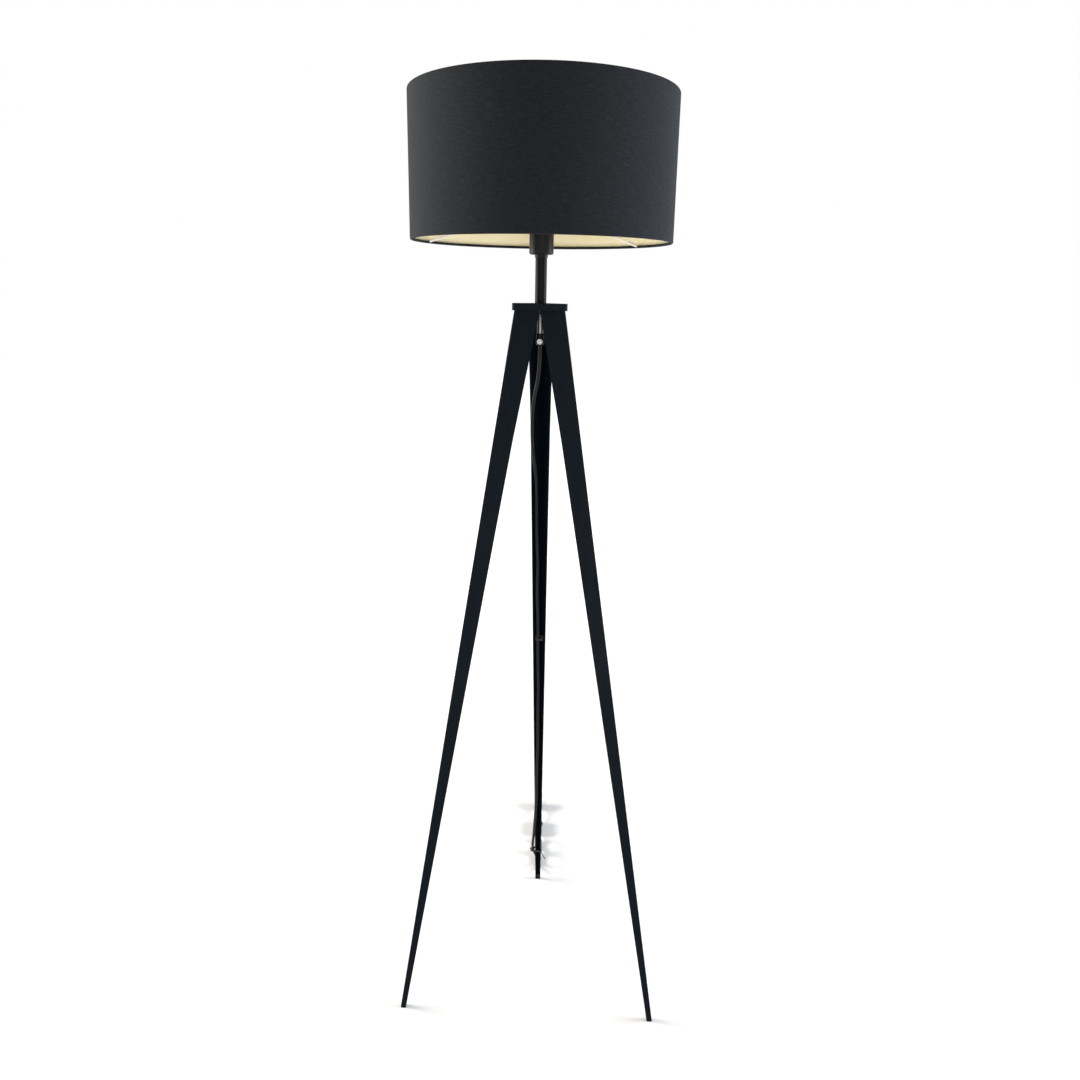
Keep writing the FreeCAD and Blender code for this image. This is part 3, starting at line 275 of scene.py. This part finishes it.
class Finish:
    """A material whose colour, roughness and relief come from noise in the
    object's own space, or along its UV map."""

    def __init__(self, name, rough, metallic=0.0, specular=0.5):
        self.material = bpy.data.materials.new(name)
        self.material.use_nodes = True
        self.tree = self.material.node_tree
        self.shader = self.tree.nodes["Principled BSDF"]
        self.shader.inputs["Metallic"].default_value = metallic
        self.shader.inputs["Specular IOR Level"].default_value = specular
        self.shader.inputs["Roughness"].default_value = rough
        place = self.add("ShaderNodeTexCoord")
        self.space = place.outputs["Object"]
        self.uv = place.outputs["UV"]
        self.normal = None

    def add(self, kind, **settings):
        node = self.tree.nodes.new(kind)
        for key, value in settings.items():
            setattr(node, key, value)
        return node

    def join(self, source, target):
        self.tree.links.new(source, target)

    def stretched(self, scale, source=None):
        mapping = self.add("ShaderNodeMapping")
        mapping.inputs["Scale"].default_value = scale
        self.join(source or self.space, mapping.inputs["Vector"])
        return mapping.outputs["Vector"]

    def noise(self, scale, detail=3.0, rough=0.5, source=None):
        node = self.add("ShaderNodeTexNoise")
        node.inputs["Scale"].default_value = scale
        node.inputs["Detail"].default_value = detail
        node.inputs["Roughness"].default_value = rough
        self.join(source or self.space, node.inputs["Vector"])
        return node.outputs["Fac"]

    def spread(self, value, low, high, start=0.3, end=0.7):
        node = self.add("ShaderNodeMapRange")
        node.inputs["From Min"].default_value = start
        node.inputs["From Max"].default_value = end
        node.inputs["To Min"].default_value = low
        node.inputs["To Max"].default_value = high
        self.join(value, node.inputs["Value"])
        return node.outputs["Result"]

    def math(self, operation, first, second):
        node = self.add("ShaderNodeMath", operation=operation)
        for slot, value in zip(node.inputs, (first, second)):
            if isinstance(value, (int, float)):
                slot.default_value = value
            else:
                self.join(value, slot)
        return node.outputs["Value"]

    def colours(self, value, stops):
        ramp = self.add("ShaderNodeValToRGB")
        elements = ramp.color_ramp.elements
        while len(elements) < len(stops):
            elements.new(0.5)
        for element, (at, colour) in zip(elements, stops):
            element.position = at
            element.color = (*colour, 1)
        self.join(value, ramp.inputs["Fac"])
        return ramp.outputs["Color"]

    def paint(self, colour):
        self.join(colour, self.shader.inputs["Base Color"])

    def gloss(self, value):
        self.join(value, self.shader.inputs["Roughness"])

    def relief(self, height, depth, strength=1.0):
        bump = self.add("ShaderNodeBump")
        bump.inputs["Strength"].default_value = strength
        bump.inputs["Distance"].default_value = depth
        self.join(height, bump.inputs["Height"])
        if self.normal:
            self.join(self.normal, bump.inputs["Normal"])
        self.normal = bump.outputs["Normal"]
        self.join(self.normal, self.shader.inputs["Normal"])


def shade_of(colour, factor):
    return tuple(min(channel * factor, 1) for channel in colour)


def moulded(name, colour, rough, specular, grain=2500, depth=0.00003, vary=0.15):
    """Moulded plastic, ceramic or coated wire: a fine even grain and faint clouding."""
    skin = Finish(name, rough, specular=specular)
    cloud = skin.noise(14, 4)
    skin.paint(skin.colours(cloud, [(0.3, shade_of(colour, 1 - vary)),
                                    (0.7, shade_of(colour, 1 + vary))]))
    skin.gloss(skin.spread(skin.noise(60, 3), rough - 0.06, rough + 0.08))
    skin.relief(skin.noise(grain, 2), depth)
    return skin


def plated(name, colour, rough, scale=(400, 400, 40)):
    """Bare or plated metal with fine drawn lines and small dull spots."""
    metal = Finish(name, rough, metallic=1.0)
    lines = metal.noise(1, 3, source=metal.stretched(scale))
    spots = metal.noise(220, 3)
    metal.paint(metal.colours(spots, [(0.35, shade_of(colour, 0.82)), (0.65, colour)]))
    metal.gloss(metal.spread(lines, rough - 0.08, rough + 0.12))
    metal.relief(lines, 0.00002)
    return metal


def powder_coat(name, colour, rough, specular):
    """Satin powder coat: a fine orange peel, and a few faint rubbed patches."""
    skin = Finish(name, rough, specular=specular)
    cloud = skin.noise(9, 5, 0.6)
    rub = skin.noise(1, 4, 0.65, source=skin.stretched((60, 60, 6)))
    tone = skin.math("ADD", skin.math("MULTIPLY", cloud, 0.6), skin.math("MULTIPLY", rub, 0.4))
    skin.paint(skin.colours(tone, [(0.35, shade_of(colour, 0.8)), (0.6, colour),
                                   (0.75, shade_of(colour, 1.5))]))
    skin.gloss(skin.spread(rub, rough - 0.07, rough + 0.1))
    skin.relief(skin.noise(900, 2), 0.00006, 0.7)
    return skin


def woven(name, colour, thread):
    """Plain weave over a backing: warp and weft ridges, and long slubs."""
    cloth = Finish(name, 0.9, specular=0.1)
    cloth.shader.inputs["Sheen Weight"].default_value = 0.06
    cloth.shader.inputs["Sheen Roughness"].default_value = 0.45
    cloth.shader.inputs["Sheen Tint"].default_value = (0.82, 0.9, 1.0, 1)
    parts = cloth.add("ShaderNodeSeparateXYZ")
    cloth.join(cloth.uv, parts.inputs["Vector"])
    wander = cloth.noise(1, 3, source=cloth.stretched((55, 700, 1), cloth.uv))
    turns = 2 * math.pi / thread
    weft = cloth.math("SINE", cloth.math("ADD", cloth.math("MULTIPLY", parts.outputs["Y"], turns),
                                         cloth.math("MULTIPLY", wander, 6)), 0)
    drift = cloth.noise(1, 3, source=cloth.stretched((700, 55, 1), cloth.uv))
    warp = cloth.math("SINE", cloth.math("ADD", cloth.math("MULTIPLY", parts.outputs["X"], turns),
                                         cloth.math("MULTIPLY", drift, 6)), 0)
    slub = cloth.noise(1, 2, source=cloth.stretched((70, 1300, 1), cloth.uv))
    upright = cloth.noise(1, 2, source=cloth.stretched((1300, 90, 1), cloth.uv))
    thick = cloth.math("ADD", cloth.spread(slub, 0, 1, 0.45, 0.75),
                       cloth.spread(upright, 0, 0.6, 0.5, 0.8))
    weave = cloth.math("MULTIPLY", weft, warp)
    tone = cloth.math("ADD", cloth.math("MULTIPLY", thick, 0.45),
                      cloth.math("MULTIPLY", cloth.math("ADD", weave, 1), 0.2))
    cloth.paint(cloth.colours(tone, [(0.05, shade_of(colour, 0.55)), (0.4, colour),
                                     (0.9, shade_of(colour, 2.0))]))
    height = cloth.math("ADD", cloth.math("MULTIPLY", weave, 0.5), thick)
    cloth.relief(height, 0.00018, 0.8)
    return cloth


def liner_sheet(name, colour):
    """The lining: a smooth, slightly mottled plastic sheet."""
    film = Finish(name, 0.5, specular=0.3)
    cloud = film.noise(6, 4)
    film.paint(film.colours(cloud, [(0.3, shade_of(colour, 0.95)), (0.7, shade_of(colour, 1.03))]))
    film.gloss(film.spread(film.noise(90, 2), 0.42, 0.58))
    film.relief(film.noise(1100, 2), 0.00004, 0.6)
    film.shader.inputs["Subsurface Weight"].default_value = 0.15
    film.shader.inputs["Subsurface Radius"].default_value = (0.002, 0.0015, 0.0008)
    film.shader.inputs["Subsurface Scale"].default_value = 1.0
    return film


finishes = {
    "leg_paint": powder_coat("leg_paint", (0.0028, 0.0058, 0.0098), 0.5, 0.05),
    "pole_paint": powder_coat("pole_paint", (0.0038, 0.0055, 0.0065), 0.4, 0.06),
    "foot_plastic": moulded("foot_plastic", (0.009, 0.009, 0.01), 0.6, 0.25),
    "bare_steel": plated("bare_steel", (0.3, 0.3, 0.31), 0.45),
    "holder_plastic": moulded("holder_plastic", (0.006, 0.007, 0.0068), 0.42, 0.12),
    "insert_ceramic": moulded("insert_ceramic", (0.74, 0.72, 0.66), 0.35, 0.5, vary=0.04),
    "contact_brass": plated("contact_brass", (0.72, 0.55, 0.27), 0.28),
    "shade_wire": moulded("shade_wire", (0.8, 0.8, 0.78), 0.38, 0.4, vary=0.03),
    "shade_cloth": woven("shade_cloth", (0.013, 0.0148, 0.0178), 0.0011),
    # Painted light: the lining sheet is white; its cream tint stands in for warm light falling
    # inside the lampshade.
    "shade_liner": liner_sheet("shade_liner", (0.93, 0.82, 0.55)),
    "cord_sheath": moulded("cord_sheath", (0.006, 0.0065, 0.0075), 0.45, 0.15, grain=1800),
    "core_insulation": moulded("core_insulation", (0.10, 0.045, 0.02), 0.4, 0.4),
    "tie_nylon": moulded("tie_nylon", (0.012, 0.012, 0.013), 0.35, 0.3, grain=900),
    "switch_plastic": moulded("switch_plastic", (0.009, 0.009, 0.0098), 0.5, 0.35, depth=0.00006),
    "pin_nickel": plated("pin_nickel", (0.66, 0.64, 0.6), 0.22),
}

for entry in frame["record"]["subparts"]:
    for slot in nodes[entry["node"]].material_slots:
        slot.material = finishes[entry["material_slot"]].material
for piece, name in ((lead, "cord_sheath"), (link, "cord_sheath"),
                    (cloth, "shade_cloth"), (liner, "shade_liner")):
    piece.data.materials.append(finishes[name].material)

# ------------------------------------------------------------ floor and light
# The floor glows only where it is seen directly, more the further it lies
# from the lamp, so that it keeps the shadow and fades into the white world.

FLOOR_HALF = 14
GLOW_FROM = 0.3
GLOW_TO = 3.5
NEAR_GLOW = 0.02
FAR_GLOW = 0.9
WORLD_LIGHT = 0.35
WORLD_SEEN = 1.0


def camera_sees(tree):
    """1 for what the camera sees directly, in a mirror or through glass."""
    path = tree.nodes.new("ShaderNodeLightPath")
    total = path.outputs["Is Camera Ray"]
    for name in ("Is Glossy Ray", "Is Transmission Ray"):
        either = tree.nodes.new("ShaderNodeMath")
        either.operation = "MAXIMUM"
        tree.links.new(total, either.inputs[0])
        tree.links.new(path.outputs[name], either.inputs[1])
        total = either.outputs["Value"]
    return total


def make_floor():
    mesh = bpy.data.meshes.new("floor")
    corners = [(x * FLOOR_HALF, y * FLOOR_HALF, 0) for x, y in ((-1, -1), (1, -1), (1, 1), (-1, 1))]
    mesh.from_pydata(corners, [], [(0, 1, 2, 3)])
    floor = bpy.data.objects.new("floor", mesh)
    bpy.context.scene.collection.objects.link(floor)
    material = bpy.data.materials.new("floor")
    material.use_nodes = True
    tree = material.node_tree
    shader = tree.nodes["Principled BSDF"]
    shader.inputs["Base Color"].default_value = (0.86, 0.86, 0.86, 1)
    shader.inputs["Roughness"].default_value = 0.9
    shader.inputs["Specular IOR Level"].default_value = 0.1
    shader.inputs["Emission Color"].default_value = (1, 1, 1, 1)
    place = tree.nodes.new("ShaderNodeTexCoord")
    reach = tree.nodes.new("ShaderNodeVectorMath")
    reach.operation = "LENGTH"
    tree.links.new(place.outputs["Object"], reach.inputs[0])
    fade = tree.nodes.new("ShaderNodeMapRange")
    fade.interpolation_type = "SMOOTHSTEP"
    fade.inputs["From Min"].default_value = GLOW_FROM
    fade.inputs["From Max"].default_value = GLOW_TO
    fade.inputs["To Min"].default_value = NEAR_GLOW
    fade.inputs["To Max"].default_value = FAR_GLOW
    tree.links.new(reach.outputs["Value"], fade.inputs["Value"])
    glow = tree.nodes.new("ShaderNodeMath")
    glow.operation = "MULTIPLY"
    tree.links.new(camera_sees(tree), glow.inputs[0])
    tree.links.new(fade.outputs["Result"], glow.inputs[1])
    tree.links.new(glow.outputs["Value"], shader.inputs["Emission Strength"])
    mesh.materials.append(material)


def make_world():
    world = bpy.data.worlds.new("world")
    bpy.context.scene.world = world
    world.use_nodes = True
    tree = world.node_tree
    background = tree.nodes["Background"]
    background.inputs["Color"].default_value = (1, 1, 1, 1)
    strength = tree.nodes.new("ShaderNodeMapRange")
    strength.inputs["To Min"].default_value = WORLD_LIGHT
    strength.inputs["To Max"].default_value = WORLD_SEEN
    tree.links.new(camera_sees(tree), strength.inputs["Value"])
    tree.links.new(strength.outputs["Result"], background.inputs["Strength"])


def area_light(name, place, target, size, power, colour):
    light = bpy.data.lights.new(name, "AREA")
    light.shape = "DISK"
    light.size = size
    light.energy = power
    light.color = colour
    lamp = bpy.data.objects.new(name, light)
    bpy.context.scene.collection.objects.link(lamp)
    lamp.location = place
    lamp.rotation_euler = (Vector(target) - Vector(place)).to_track_quat("-Z", "Y").to_euler()


make_floor()
make_world()
area_light("low_light", (0.4, -3.6, 0.25), (0, 0.1, 1.4), 1.2, 60, (1.0, 0.98, 0.95))
area_light("left_light", (-2.7, 0.35, 1.6), (0, 0, 1.2), 1.6, 130, (1.0, 0.96, 0.9))
area_light("right_light", (2.7, 0.3, 1.6), (0, 0, 1.2), 1.6, 95, (0.9, 0.95, 1.0))
area_light("front_light", (0.6, -2.6, 2.6), (0, 0, 0.9), 2.0, 6, (1.0, 1.0, 1.0))

bpy.context.scene.view_settings.view_transform = "Standard"

# -------------------------------------------------------------------- finish

bpy.context.view_layer.update()
